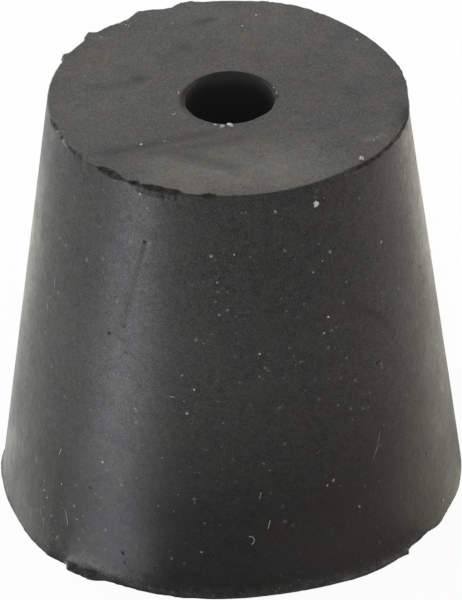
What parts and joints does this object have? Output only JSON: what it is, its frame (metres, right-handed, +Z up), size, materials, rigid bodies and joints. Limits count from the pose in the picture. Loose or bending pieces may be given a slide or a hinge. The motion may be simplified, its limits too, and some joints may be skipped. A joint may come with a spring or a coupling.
{
  "type": "rubber stopper",
  "caption": "Tapered round rubber stopper with a through hole, standing on its large end, with torn mould flash round both rims.",
  "frame": {"origin": "middle of the large end, on the surface that the stopper stands on", "axes": "+Z up the stopper's axis towards the small end; -Y is the front"},
  "size_m": [0.0261, 0.0261, 0.025],
  "materials": {
    "rubber": "satin black, dusty and lightly scuffed"
  },
  "bodies": {
    "root": {"stopper": "rubber"}
  },
  "joints": []
}
